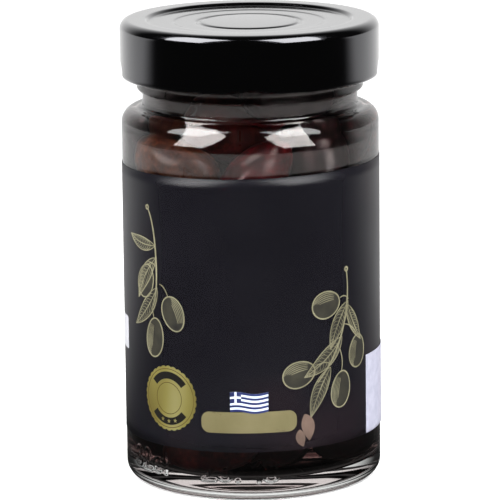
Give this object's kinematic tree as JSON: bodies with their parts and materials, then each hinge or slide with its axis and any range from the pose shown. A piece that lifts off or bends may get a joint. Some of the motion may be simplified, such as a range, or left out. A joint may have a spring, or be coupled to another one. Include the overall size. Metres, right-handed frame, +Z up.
{
  "type": "jar of olives",
  "caption": "Sealed round glass jar of dark olives in brine with a black steel lug lid, a dark film label and a small paper sticker.",
  "frame": {"origin": "centre of the foot on the surface the jar stands on", "axes": "+Z up the jar's axis, -Y towards the front of the label, +X towards the sticker"},
  "size_m": [0.068, 0.0677, 0.1218],
  "materials": {
    "clear_glass": "clear gloss",
    "olives_in_brine": "wet",
    "lacquered_steel": "gloss lacquer",
    "label_film": "satin",
    "sticker_paper": "matte paper"
  },
  "bodies": {
    "root": {"jar": "clear_glass", "contents": "olives_in_brine", "lid": "lacquered_steel", "label": "label_film", "sticker": "sticker_paper"}
  },
  "joints": []
}
